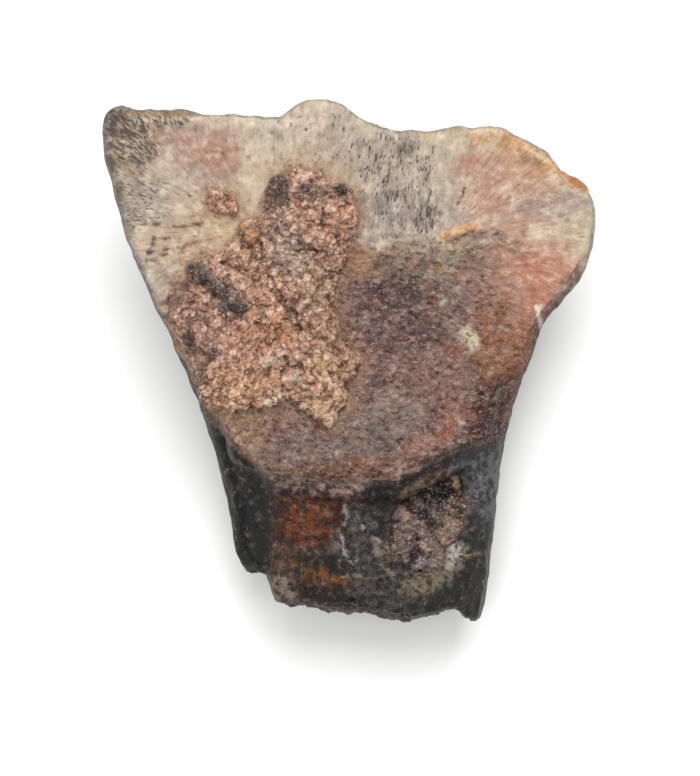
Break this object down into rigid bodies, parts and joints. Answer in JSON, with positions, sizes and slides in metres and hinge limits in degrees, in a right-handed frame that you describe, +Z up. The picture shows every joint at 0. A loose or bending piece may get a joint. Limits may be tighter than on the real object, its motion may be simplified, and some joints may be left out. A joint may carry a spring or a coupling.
{
  "type": "fossil dinosaur tooth",
  "caption": "Broken fossil tooth that lies on its back: flared crown with a dished, worn face, a rounded lip, a short broken root with a pocket, and sandstone crust on the face.",
  "frame": {"origin": "on the surface the tooth lies on, under the middle of its bounding box", "axes": "+Y from the broken root to the crown's rim, +Z up out of the dished face, +X across the crown to the viewer's right"},
  "size_m": [0.0445, 0.0474, 0.0171],
  "materials": {
    "fossil_tooth": "mineralised tooth, worn and fibrous, satin to dull, stained cream, pink, brown and near black",
    "sandstone": "dull grainy salmon and tan sandstone",
    "sediment": "dull dark sediment with tan grains"
  },
  "bodies": {
    "root": {"tooth": "fossil_tooth", "sandstone_crust": "sandstone", "sandstone_fleck": "sandstone", "pocket_sediment": "sediment"}
  },
  "joints": []
}
